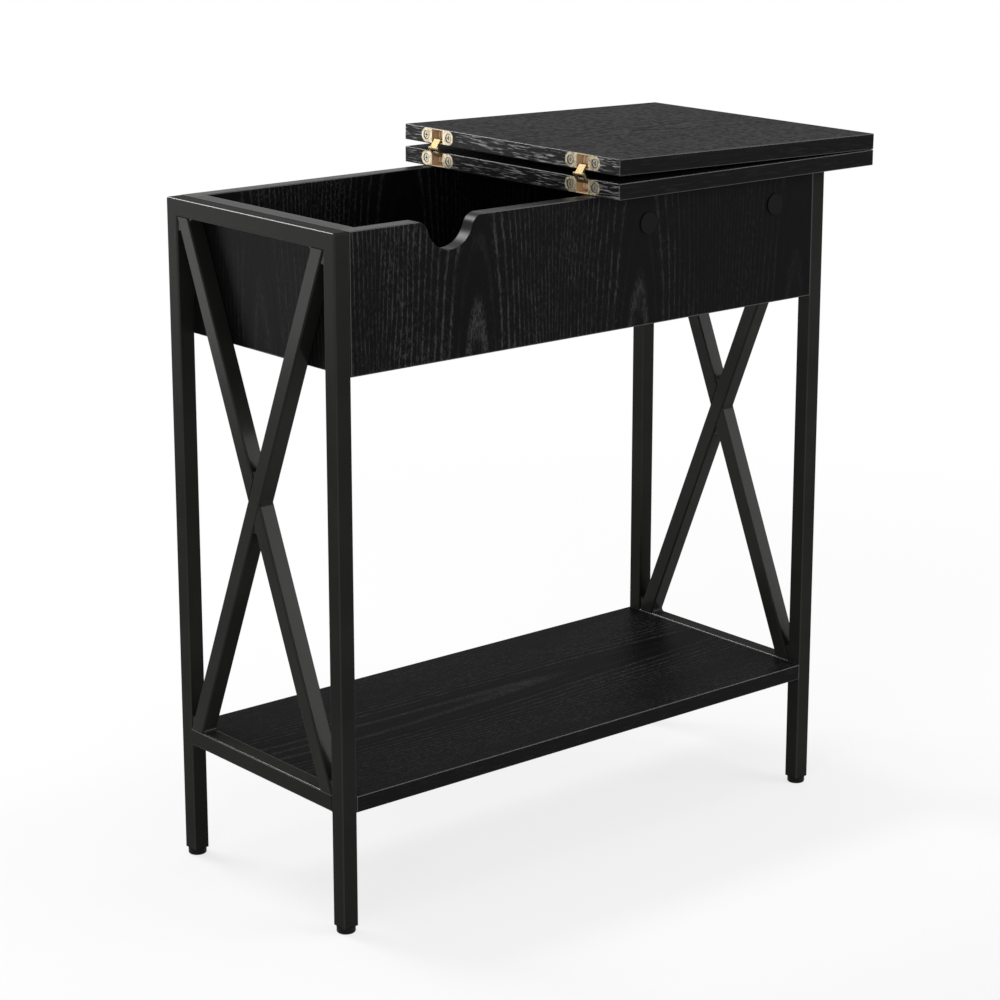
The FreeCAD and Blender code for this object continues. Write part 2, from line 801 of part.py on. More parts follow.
def cup_screw(seat):
    """Countersunk screw along the seat's +Z, with its head just below the seat."""
    taper = (cup_screw_head - cup_screw_shank) / 2
    cone = doc.addObject("Part::Cone", "head")
    cone.setExpression("Radius1", (cup_screw_head / 2).text)
    cone.setExpression("Radius2", (cup_screw_shank / 2).text)
    cone.setExpression("Height", taper.text)
    sunk = seat.moved(0, 0, head_recess)
    sunk.hold(cone)
    return [cone, rod(sunk, cup_screw_shank, cup_screw_length)]


def at(side, x, drop):
    """Point in a hinge's side view: X into the board and the drop below the turning line."""
    return (side * x, -drop)


def bar(seat, start, end, width):
    """Flat link with round ends between two points, across the hinge's middle."""
    middle = seat.moved(0, -width / 2, 0)
    run = end[0] - start[0]
    rise = end[1] - start[1]
    slope = arc_tangent(rise, run)
    length = square_root(run * run + rise * rise)
    stick = doc.addObject("Part::Box", "bar")
    for name, size in (("Length", length), ("Width", width), ("Height", 2 * link_half)):
        stick.setExpression(name, as_size(size).text)
    aimed = middle.moved(start[0], 0, start[1], "0; 1; 0", -slope)
    aimed.moved(0, 0, -link_half).hold(stick)
    ends = [
        rod(middle.moved(x, 0, z).facing("+Y"), 2 * link_half, width)
        for x, z in (start, end)
    ]
    return [stick] + ends


def shaving(seat, side):
    """Block that thins the side of a link that faces out of the slot when the hinge is open."""
    line = seat.moved(side * shave_out, 0, -shave_drop, "0; 1; 0", -side * shave_lean)
    start = line.moved(-side * shave_block / 2, 0, -shave_fall)
    return block(start, shave_block, slot_width, shave_rise + shave_fall)


pin_length = slot_width + 2 * pin_grip
eye_diameter = pin_diameter + 2 * pin_play
tongue_width = link_pack - 2 * (link_cheek + link_play)

# The middle joint lies in the plane that halves the angle between the two boards. Its place
# with the flap open follows from the link's length.
half_turn = flap_turn / 2
link_length = square_root(
    pivot_in * pivot_in + (middle_drop - pivot_drop) * (middle_drop - pivot_drop)
)
lean = 2 * (pivot_in * sine(half_turn) - pivot_drop * cosine(half_turn))
offset = pivot_in * pivot_in + pivot_drop * pivot_drop - link_length * link_length
open_reach = (square_root(lean * lean - 4 * offset) - lean) / 2
open_out = open_reach * sine(half_turn)
open_drop = open_reach * cosine(half_turn)


def lower_link(label, seat):
    """Fork: two cheeks over the whole length, joined by a web between pivot and elbow."""
    pivot = at(1, pivot_in, pivot_drop)
    elbow = at(-1, elbow_out, elbow_drop)
    middle = at(-1, open_out, open_drop)
    cheek_y = (link_pack - link_cheek) / 2
    parts = bar(seat, pivot, elbow, link_pack)
    for y in (-1, 1):
        cheek = seat.moved(0, y * cheek_y, 0)
        parts.extend(bar(cheek, elbow, middle, link_cheek))
    across = seat.moved(0, -link_pack / 2, 0)
    eye = rod(across.moved(pivot[0], 0, pivot[1]).facing("+Y"), eye_diameter, link_pack)
    hole = rod(across.moved(middle[0], 0, middle[1]).facing("+Y"), pin_diameter, link_pack)
    finish(label, cut(joined(parts), [eye, hole, shaving(seat, 1)]))


def link_rivets(label, seat):
    """Short rivets in the ends of the lower link's cheeks."""
    x, z = at(-1, open_out, open_drop)
    ends = []
    for y in (-1, 1):
        cheek = seat.moved(x, y * (link_pack - link_cheek) / 2, z).facing("+Y")
        ends.append(rod(cheek.moved(0, 0, -link_cheek / 2), pin_diameter, link_cheek))
    finish(label, joined(ends))


def upper_link(label, seat):
    """Broad tongue between the cheeks of the lower link, with a wide eye at its pivot."""
    pivot = at(-1, pivot_in, pivot_drop)
    elbow = at(1, elbow_out, elbow_drop)
    middle = at(1, open_out, open_drop)
    parts = bar(seat, pivot, elbow, tongue_width) + bar(seat, elbow, middle, tongue_width)
    across = seat.moved(pivot[0], -link_pack / 2, pivot[1]).facing("+Y")
    parts.append(rod(across, 2 * link_half, link_pack))
    eye = rod(across, eye_diameter, link_pack)
    finish(label, cut(joined(parts), [eye, shaving(seat, -1)]))


def hinge_half(label, side, seat):
    """Cup, screws and pivot pin; returns the solids to cut from the board."""
    mouth = seat.moved(side * top_slit / 2, 0, -cup_drop)
    into = mouth.facing(outwards(side, "X"))
    blank = cup_blank(into)
    slot = block(into, slot_height, slot_width, slot_depth)
    screws = []
    crosses = []
    recesses = []
    for y in (-1, 1):
        screw_seat = into.moved(0, y * cup_screw_y, 0)
        screws.extend(cup_screw(screw_seat))
        crosses.extend(cross(screw_seat.moved(0, 0, head_recess), cup_screw_head))
        recesses.append(rod(screw_seat, cup_screw_head, head_recess))
    screw_set = joined(screws)
    pin_seat = seat.moved(side * pivot_in, -pin_length / 2, -pivot_drop).facing("+Y")
    pin = rod(pin_seat, pin_diameter, pin_length)
    finish(label + "_cup", cut(blank, [slot, pin, screw_set] + recesses))
    finish(label + "_cup_screws", cut(screw_set, crosses))
    finish(label + "_pin", pin)
    return [blank, screw_set]


fixed_tools = []
flap_tools = []
for hinge, y in (("front", -1), ("rear", 1)):
    fixed_line = TABLE.moved(0, y * hinge_y, hinge_height)
    flap_line = FLAP.moved(0, y * hinge_y, 0)
    fixed_tools.extend(hinge_half(hinge + "_fixed_hinge", 1, fixed_line))
    flap_tools.extend(hinge_half(hinge + "_flap_hinge", -1, flap_line))
    lower_link(hinge + "_lower_link", fixed_line)
    link_rivets(hinge + "_link_rivets", fixed_line)
    upper_link(hinge + "_upper_link", flap_line)


# ---------------------------------------------------------------- the two halves of the top

half_middle = (top_slit + half_length) / 2
fixed_blank = flat_board("fixed_top_blank", half_length, top_depth, every_edge)
TABLE.moved(half_middle, 0, frame_top).hold(fixed_blank)
finish("fixed_top", cut(fixed_blank, fixed_tools + [top_bolt_set]))

flap_blank = flat_board("flap_blank", half_length, top_depth, every_edge)
FLAP.moved(-half_middle, 0, -flap_top_drop - board).hold(flap_blank)
finish("flap", cut(flap_blank, flap_tools))

# Fasteners that were needed whole as cutting tools
finish("top_cam_bolts", top_bolt_set)
finish("box_cam_bolts", box_bolt_set)
finish("dowels", dowel_set)
finish("cam_cover_caps", cap_set)
finish("box_screws", cut(box_screw_set, box_crosses))
finish("shelf_screws", cut(shelf_screw_set, shelf_crosses))


# ---------------------------------------------------------------- leg inserts and levelling feet

def lower_rim(edge):
    return edge.BoundBox.ZMax < foot_gap.value and len(edge.Vertexes) == 1


inserts = []
for x_name, x in sides():
    for y_name, y in (("front", -1), ("rear", 1)):
        label = y_name + "_" + x_name + "_foot"
        ground = TABLE.moved(x * leg_x, y * leg_y, 0)
        stud = rod(ground.moved(0, 0, stud_root), stud_diameter, stud_top - stud_root)
        finish(label + "_stud", stud)

        pad_blank = new_body(label + "_pad_blank")
        disc = new_sketch(pad_blank, "XY_Plane")
        ring = Part.Circle(Vector(0, 0, 0), Vector(0, 0, 1), foot_diameter.value / 2)
        disc.addGeometry(ring, False)
        disc.addConstraint(Sketcher.Constraint("Coincident", 0, 3, -1, 1))
        bind(disc, "Diameter", (0,), foot_diameter)
        solid = add_pad(pad_blank, disc, leg_bottom - foot_gap)
        add_fillet(pad_blank, solid, foot_round, lower_rim)
        ground.hold(pad_blank)
        finish(label + "_pad", cut(pad_blank, [stud]))

        mouth = ground.moved(0, 0, leg_bottom)
        plug_width = tube_width - 2 * tube_wall
        plug = block(mouth, plug_width, plug_width, insert_length)
        stud_hole = rod(mouth, stud_diameter + 2 * stud_play, insert_length)
        inserts.append(cut(plug, [stud_hole]))
finish("leg_inserts", joined(inserts))


# ---------------------------------------------------------------- check and write

doc.recompute()
for item in doc.Objects:
    if "Invalid" in item.State or "Error" in item.State:
        raise RuntimeError("%s failed: %s" % (item.Label, item.State))
for node in nodes:
    if node.Shape.isNull() or not node.Shape.isValid():
        raise RuntimeError(node.Label + " has no valid shape")
for node in nodes:
    node.Shape.exportStep("parts/%s.step" % node.Label)
print("%d pieces written" % len(nodes))
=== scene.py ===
import json
import math

import bpy
from mathutils import Matrix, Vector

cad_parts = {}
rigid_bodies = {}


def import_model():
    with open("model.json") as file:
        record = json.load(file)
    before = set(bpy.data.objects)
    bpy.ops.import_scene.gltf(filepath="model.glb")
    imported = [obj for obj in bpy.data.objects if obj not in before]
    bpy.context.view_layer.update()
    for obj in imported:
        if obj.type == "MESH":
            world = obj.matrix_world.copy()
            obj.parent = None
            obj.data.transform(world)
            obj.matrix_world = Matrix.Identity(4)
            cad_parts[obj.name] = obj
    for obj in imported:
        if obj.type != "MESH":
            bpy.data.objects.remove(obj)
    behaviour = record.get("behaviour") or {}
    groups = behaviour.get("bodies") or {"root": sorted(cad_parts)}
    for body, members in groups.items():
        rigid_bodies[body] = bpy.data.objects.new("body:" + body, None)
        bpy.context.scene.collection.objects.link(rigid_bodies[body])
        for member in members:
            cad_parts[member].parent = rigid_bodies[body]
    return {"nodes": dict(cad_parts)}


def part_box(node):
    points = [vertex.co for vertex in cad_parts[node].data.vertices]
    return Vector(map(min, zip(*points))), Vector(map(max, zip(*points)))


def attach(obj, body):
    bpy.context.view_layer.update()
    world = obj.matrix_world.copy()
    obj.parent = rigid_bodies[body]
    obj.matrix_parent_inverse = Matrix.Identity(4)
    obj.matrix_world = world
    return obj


# An empty scene, and the CAD model of the table in it. The model is at its real size in metres:
# X runs along the table, Y from front to back and Z up from the floor.
for item in list(bpy.data.objects):
    bpy.data.objects.remove(item, do_unlink=True)
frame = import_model()
bpy.context.view_layer.update()
node = frame["nodes"]
middle_x = -0.01714               # middle of the steel frame, which is also the line of the hinges
scene = bpy.context.scene


# Camera: in front of the side with the cable notch, to the left, and a little above the top.
yaw = math.radians(39.95)         # turned to the right of straight ahead
pitch = math.radians(14.46)       # tipped down
distance = 2.37297                # from the middle of the frame, measured level
sideways = -0.00601               # across the line of sight
eye_height = 0.95748
film_width = 36                   # in mm
picture_width = 1000              # in pixels
focal_length = 2768.45            # in pixels
camera_data = bpy.data.cameras.new("camera")
camera_data.sensor_width = film_width
camera_data.lens = focal_length * film_width / picture_width
camera_data.shift_y = -0.05
camera = bpy.data.objects.new("camera", camera_data)
scene.collection.objects.link(camera)
camera.location.x = middle_x - math.sin(yaw) * distance + math.cos(yaw) * sideways
camera.location.y = -math.cos(yaw) * distance - math.sin(yaw) * sideways
camera.location.z = eye_height
camera.rotation_euler = (math.pi / 2 - pitch, 0, -yaw)
scene.camera = camera


# Studio: a white floor that runs out into a white surround, and soft boxes round the table. White is
# what the camera, gloss and glass see; what lights the table is weaker.
def feed(socket, value):
    """Links a Wire to a socket, or sets a plain value on it."""
    if isinstance(value, Wire):
        socket.id_data.links.new(value.socket, socket)
    else:
        socket.default_value = value


class Wire:
    """One output of a node in a material, with plain arithmetic on it."""

    def __init__(self, socket):
        self.socket = socket

    def node(self, kind, inputs, out=0, **settings):
        """Adds a node to the same material: its settings first, then its values and links."""
        made = self.socket.id_data.nodes.new(kind)
        for name, value in settings.items():
            setattr(made, name, value)
        for name, value in inputs.items():
            feed(made.inputs[name], value)
        return Wire(made.outputs[out])

    def maths(self, operation, *others):
        inputs = {0: self}
        for index, other in enumerate(others):
            inputs[index + 1] = other
        return self.node("ShaderNodeMath", inputs, operation=operation)

    def __add__(self, other):
        return self.maths("ADD", other)

    def __radd__(self, other):
        return self.maths("ADD", other)

    def __sub__(self, other):
        return self.maths("SUBTRACT", other)

    def __rsub__(self, other):
        return self.node("ShaderNodeMath", {0: other, 1: self}, operation="SUBTRACT")

    def __mul__(self, other):
        return self.maths("MULTIPLY", other)

    def __rmul__(self, other):
        return self.maths("MULTIPLY", other)

    def __truediv__(self, other):
        return self.maths("DIVIDE", other)

    def ramp(self, low, high, at_low=0.0, at_high=1.0):
        """A smooth step: at_low below low, at_high above high."""
        inputs = {"Value": self, "From Min": low, "From Max": high}
        inputs["To Min"] = at_low
        inputs["To Max"] = at_high
        return self.node("ShaderNodeMapRange", inputs, interpolation_type="SMOOTHSTEP")

    def split(self, axis):
        return self.node("ShaderNodeSeparateXYZ", {0: self}, out="XYZ".index(axis))

    def stretched(self, x, y, z, shift=0.0):
        """This place with each axis counted in its own unit, and moved along."""
        inputs = {"Vector": self, "Scale": (x, y, z), "Location": (shift, shift, shift)}
        return self.node("ShaderNodeMapping", inputs)

    def noise(self, scale=1.0, detail=2.0, roughness=0.5):
        inputs = {"Vector": self, "Scale": scale, "Detail": detail, "Roughness": roughness}
        return self.node("ShaderNodeTexNoise", inputs)

    def colour(self, low, high):
        """The colour low where this is 0, high where it is 1. Each is three numbers or a Wire."""
        first, second = [end if isinstance(end, Wire) else (*end, 1) for end in (low, high)]
        inputs = {0: self, 6: first, 7: second}
        return self.node("ShaderNodeMix", inputs, out=2, data_type="RGBA")

    def bump(self, height):
        """A normal from this height, in metres times height."""
        inputs = {"Height": self * height, "Strength": 1.0, "Distance": 1.0}
        return self.node("ShaderNodeBump", inputs)


def new_finish(name):
    """A new material, its shader, and the place on the object as a Wire."""
    material = bpy.data.materials.new(name)
    material.use_nodes = True
    nodes = material.node_tree.nodes
    place = Wire(nodes.new("ShaderNodeTexCoord").outputs["Object"])
    return material, nodes["Principled BSDF"], place


def set_values(shader, **values):
    """Feeds the sockets of a shader, Base_Color and so on, each with a value or a Wire."""
    for name, value in values.items():
        feed(shader.inputs[name.replace("_", " ")], value)


def by_sight(tree):
    """1 for a ray from the camera, or from gloss or glass, and 0 for one that carries light."""
    light_path = tree.nodes.new("ShaderNodeLightPath")
    kinds = ("Camera", "Glossy", "Transmission")
    rays = [Wire(light_path.outputs["Is " + kind + " Ray"]) for kind in kinds]
    return rays[0].maths("MAXIMUM", rays[1]).maths("MAXIMUM", rays[2])


floor_width = 60
floor_drop = 0.0002               # of the floor below the pads, so that the faces do not meet
shade_from, shade_to = 0.45, 1.5  # the shaded floor turns white between these distances
shaded_white = 0.76               # share of white close to the table
room_light = 0.35                 # strength of the surround as a light
scene.view_settings.view_transform = "Standard"
bpy.ops.mesh.primitive_plane_add(size=floor_width, location=(0, 0, -floor_drop))
floor = bpy.context.object
floor.name = "floor"
paint, shader, place = new_finish("floor_paint")
set_values(shader, Base_Color=(0.8, 0.8, 0.8, 1), Roughness=0.9, Specular_IOR_Level=0.1)
from_table = place.node("ShaderNodeVectorMath", {0: place}, out=1, operation="LENGTH")
white = place.node("ShaderNodeEmission", {"Color": (1, 1, 1, 1), "Strength": 1.0})
whiteness = by_sight(paint.node_tree) * from_table.ramp(shade_from, shade_to, shaded_white, 1.0)
coats = {0: whiteness, 1: Wire(shader.outputs["BSDF"]), 2: white}
mixed = place.node("ShaderNodeMixShader", coats)
feed(paint.node_tree.nodes["Material Output"].inputs["Surface"], mixed)
floor.data.materials.append(paint)

world = bpy.data.worlds.new("surround")
scene.world = world
world.use_nodes = True
background = world.node_tree.nodes["Background"]
seen = by_sight(world.node_tree)
set_values(background, Color=(1, 1, 1, 1), Strength=seen * (1.0 - room_light) + room_light)

# Each soft box: name, direction it stands in, how far, height above the floor, width, length, watts
soft_boxes = [
    ("light_back", (-0.24, 0.74, 0.61), 2.4, 0.35, 1.1, 0.5, 40),
    ("light_right", (0.54, -0.77, 0.34), 2.5, 0.3, 1.5, 0.9, 32),
    ("light_left", (-0.64, 0.77, 0.0), 2.2, 0.37, 0.7, 0.7, 7.5),
    ("light_end", (-0.84, -0.52, 0.15), 2.6, 0.6, 0.7, 0.7, 11),
    ("light_top", (0.0, 0.0, 1.0), 2.4, 0.3, 1.6, 1.6, 16),
]
for name, direction, far, height, width, length, power in soft_boxes:
    lamp = bpy.data.lights.new(name, "AREA")
    lamp.shape = "RECTANGLE"
    lamp.size = width
    lamp.size_y = length
    lamp.energy = power
    box = bpy.data.objects.new(name, lamp)
    scene.collection.objects.link(box)
    reach = math.sqrt(sum(part * part for part in direction))
    box.location = [part / reach * far for part in direction]
    box.location.z += height
    level = math.hypot(direction[0], direction[1])
    turn = math.atan2(direction[0], -direction[1]) if level else 0
    box.rotation_euler = (math.atan2(level, direction[2]), 0, turn)


# Steel end frames: square tube, welded, ground flush and powder coated satin black. The coat has
# a fine orange peel, dulls a little in patches and is duller where it lies level.
peel_height = 0.00008             # of the orange peel
level_dull = 0.35                 # how much duller a level face is
level_skin = 0.0010               # how far that reaches down the sides
rub_gloss = 0.35                  # gloss on rubbed corners
rub_from, rub_to = 0.0008, 0.0014  # where it dies away, from the nearer faces
brace_gloss = 0.09
coat_dark = (0.0122, 0.0121, 0.0114)
coat_pale = (0.0170, 0.0167, 0.0156)


def give(material, *names):
    """Puts that material on CAD nodes."""
    for name in names:
        node[name].material_slots[0].material = material


def gap(place, low, high, axis):
    """Distance of a place from the nearer of the two faces of a box across that axis."""
    index = "XYZ".index(axis)
    middle = (low[index] + high[index]) / 2
    half = (high[index] - low[index]) / 2
    return half - (place.split(axis) - middle).maths("ABSOLUTE")


def steel(name, corners=None, shine=0.0):
    """The coat. corners names a straight tube, whose rounded corners are then rubbed a little
    brighter, and shine is an even gloss for a piece without them."""
    material, shader, place = new_finish(name)
    patches = place.noise(scale=9.0, detail=3.0, roughness=0.6)
    peel = place.noise(scale=900.0, detail=2.0)
    base = patches.ramp(0.3, 0.7).colour(coat_dark, coat_pale)
    dull = patches * 0.12 + 0.20
    set_values(shader, Specular_IOR_Level=0.019, Specular_Tint=(1, 0.98, 0.94, 1))
    set_values(shader, Coat_Weight=shine, Coat_Roughness=0.15)
    if corners:
        low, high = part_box(corners)
        dull = dull + gap(place, low, high, "Z").ramp(0.0, level_skin, level_dull, 0.0)
        sizes = [(high[index] - low[index], axis) for index, axis in enumerate("XYZ")]
        thin_ways = [axis for size, axis in sorted(sizes)[:2]]
        first, second = [gap(place, low, high, axis) for axis in thin_ways]
        from_corner = first.maths("MAXIMUM", second)
        set_values(shader, Coat_Weight=from_corner.ramp(rub_from, rub_to, rub_gloss, 0.0))
    set_values(shader, Base_Color=base, Roughness=dull, Normal=peel.bump(peel_height))
    return material


brace_steel = steel("brace_steel", shine=brace_gloss)
for side in ("left", "right"):
    for tube in ("front_leg", "rear_leg", "top_rail", "shelf_rail"):
        give(steel(side + "_" + tube + "_steel", side + "_" + tube), side + "_" + tube)
    give(brace_steel, *[side + "_" + brace for brace in ("long_brace", "upper_brace", "lower_brace")])
give(brace_steel, "shelf_brackets")


# Weld beads in the corners where the tubes meet: smooth hollow fillets a little narrower than the
# tube. One of each opening is drawn as a wedge with its hollow cut out, and copied to its corners.
frame_middle = 0.2655             # middle of an end frame along the table
frame_y = 0.102                   # inner faces of the legs from the middle
rail_under = 0.571                # underside of the top rail
rail_over = 0.120                 # top of the low rail
rail_base = 0.105                 # its underside
foot = 0.01625                    # level cut across a brace
lean = (2 * frame_y - foot) / (rail_under - rail_over)
cross_z = (rail_under + rail_over) / 2
bead_width = 0.0124
hollow_sides = 96
leg_reach = 0.014                 # how far a bead runs along its sides: between brace and leg,
rail_reach = 0.005                # between brace and rail,
narrow_reach = 0.010              # in the narrow openings of the crossing,
wide_reach = 0.003                # in its wide ones,
square_reach = 0.003              # and between leg and low rail
up_out = math.atan2(1, lean)      # way of a brace that leans towards the rear leg on its way up
thin = math.pi / 2 - up_out       # opening between a brace and a leg


def turned(flip, y, z):
    """A place in an end frame, or for a flip of -1 the one straight across the crossing."""
    return (flip * y, cross_z + flip * (z - cross_z))


corners = []                      # corner (y, z), the way of its first side, opening, reach
for end in (0, math.pi):          # the other brace and leg are the same, turned half round
    flip = math.cos(end)
    corners.append((turned(flip, frame_y, rail_under), end - math.pi / 2 - thin, thin, leg_reach))
    corners.append((turned(flip, -frame_y, rail_under), end - math.pi / 2, thin, leg_reach))
    corners.append((turned(flip, frame_y - foot, rail_under), end + math.pi, up_out, rail_reach))
    corners.append((turned(flip, foot - frame_y, rail_under), end - up_out, up_out, rail_reach))
    above = turned(flip, 0, cross_z + foot / 2 / lean)
    corners.append((above, end + up_out, 2 * thin, narrow_reach))
    corners.append((turned(flip, foot / 2, cross_z), end - up_out, 2 * up_out, wide_reach))
    under_rail = math.pi if end else -math.pi / 2
    corners.append(((-flip * frame_y, rail_base), under_rail, math.pi / 2, square_reach))


def pick(*pieces):
    """Selects these pieces and no other; the first is the active one."""
    bpy.ops.object.select_all(action="DESELECT")
    for piece in pieces:
        piece.select_set(True)
    bpy.context.view_layer.objects.active = pieces[0]


def settle():
    """Moves the place and turn of what is selected into its mesh."""
    bpy.ops.object.transform_apply(location=True, rotation=True, scale=True)


def weld_bead(opening, reach):
    """A bead with its corner at the origin and its first side along Y, lying across X."""
    bpy.ops.object.select_all(action="DESELECT")
    bpy.ops.mesh.primitive_circle_add(vertices=3, radius=reach, fill_type="NGON", location=(0, 0, 0))
    wedge = bpy.context.object
    tips = [(0, 0), (reach, 0), (reach * math.cos(opening), reach * math.sin(opening))]
    for index, (x, y) in enumerate(tips):
        for vertex in wedge.data.vertices:
            vertex.select = vertex.index == index
        for side in list(wedge.data.edges) + list(wedge.data.polygons):
            side.select = False
        step = (x - wedge.data.vertices[index].co.x, y - wedge.data.vertices[index].co.y, 0)
        bpy.ops.object.mode_set(mode="EDIT")
        bpy.ops.mesh.select_mode(type="VERT")
        bpy.ops.transform.translate(value=step)
        bpy.ops.object.mode_set(mode="OBJECT")
    bpy.ops.object.mode_set(mode="EDIT")
    bpy.ops.mesh.select_all(action="SELECT")
    bpy.ops.mesh.extrude_region_move(TRANSFORM_OT_translate={"value": (0, 0, bead_width)})
    bpy.ops.mesh.select_all(action="SELECT")
    bpy.ops.mesh.normals_make_consistent(inside=False)
    bpy.ops.object.mode_set(mode="OBJECT")
    radius = reach * math.tan(opening / 2)
    far = reach / math.cos(opening / 2)
    centre = (far * math.cos(opening / 2), far * math.sin(opening / 2), bead_width / 2)
    bpy.ops.mesh.primitive_cylinder_add(vertices=hollow_sides, radius=radius, depth=3 * bead_width,
                                        location=centre)
    hollow = bpy.context.object
    bpy.context.view_layer.objects.active = wedge
    cutter = wedge.modifiers.new("hollow", "BOOLEAN")
    cutter.operation = "DIFFERENCE"
    cutter.object = hollow
    bpy.ops.object.modifier_apply(modifier="hollow")
    bpy.data.objects.remove(hollow, do_unlink=True)
    wedge.location = (-bead_width / 2, 0, 0)
    wedge.rotation_euler = (math.pi / 2, 0, math.pi / 2)
    pick(wedge)
    settle()
    return wedge


smooth_angle = math.radians(30)
models = {}
for _, _, opening, reach in corners:
    if (opening, reach) not in models:
        models[opening, reach] = weld_bead(opening, reach)
for name, side in (("left", -1), ("right", 1)):
    copies = []
    for (y, z), first, opening, reach in corners:
        bead = models[opening, reach].copy()
        bead.data = bead.data.copy()
        scene.collection.objects.link(bead)
        bead.location = (middle_x + side * frame_middle, y, z)
        bead.rotation_euler = (first, 0, 0)
        copies.append(bead)
    pick(*copies)
    settle()
    bpy.ops.object.join()
    welds = bpy.context.object
    welds.name = name + "_frame_welds"
    bpy.ops.object.shade_smooth_by_angle(angle=smooth_angle)
    welds.data.materials.clear()
    welds.data.materials.append(brace_steel)
    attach(welds, "table")
for model in models.values():
    bpy.data.objects.remove(model, do_unlink=True)


# Boards: particle board in a black wood-grain foil. Growth rings show as pale wavering lines that
# run along the grain and close in arches, and the print comes again every 187 mm. The foil on the
# edges has short flecks, which on the end edges of the two tops are set light as painted light, and
# the arrises, where it is pressed round, are polished and lightened in colour as a painted highlight.
print_repeat = 0.187
line_waver = 0.007                # how far a line strays from side to side
line_drift = 0.03                 # and how far over a longer stretch
arch_start = 0.0126               # ring that stands on the apex
ring_step = 0.01579               # from one ring to the next, near the middle
ring_crowding = 18.4              # how fast they come closer together further out
pore_depth = 0.00010
edge_from, edge_to = 0.0006, 0.0012      # a face ends and its edge begins between these depths
arris_from, arris_to = 0.0005, 0.0009    # an arris dies away between these
# colour of the painted highlight along the arrises
painted_arris_highlight = (0.06, 0.06, 0.06)
leather_gloss = 0.9
leather_depth = 20.0              # of the pebbled press, in pores


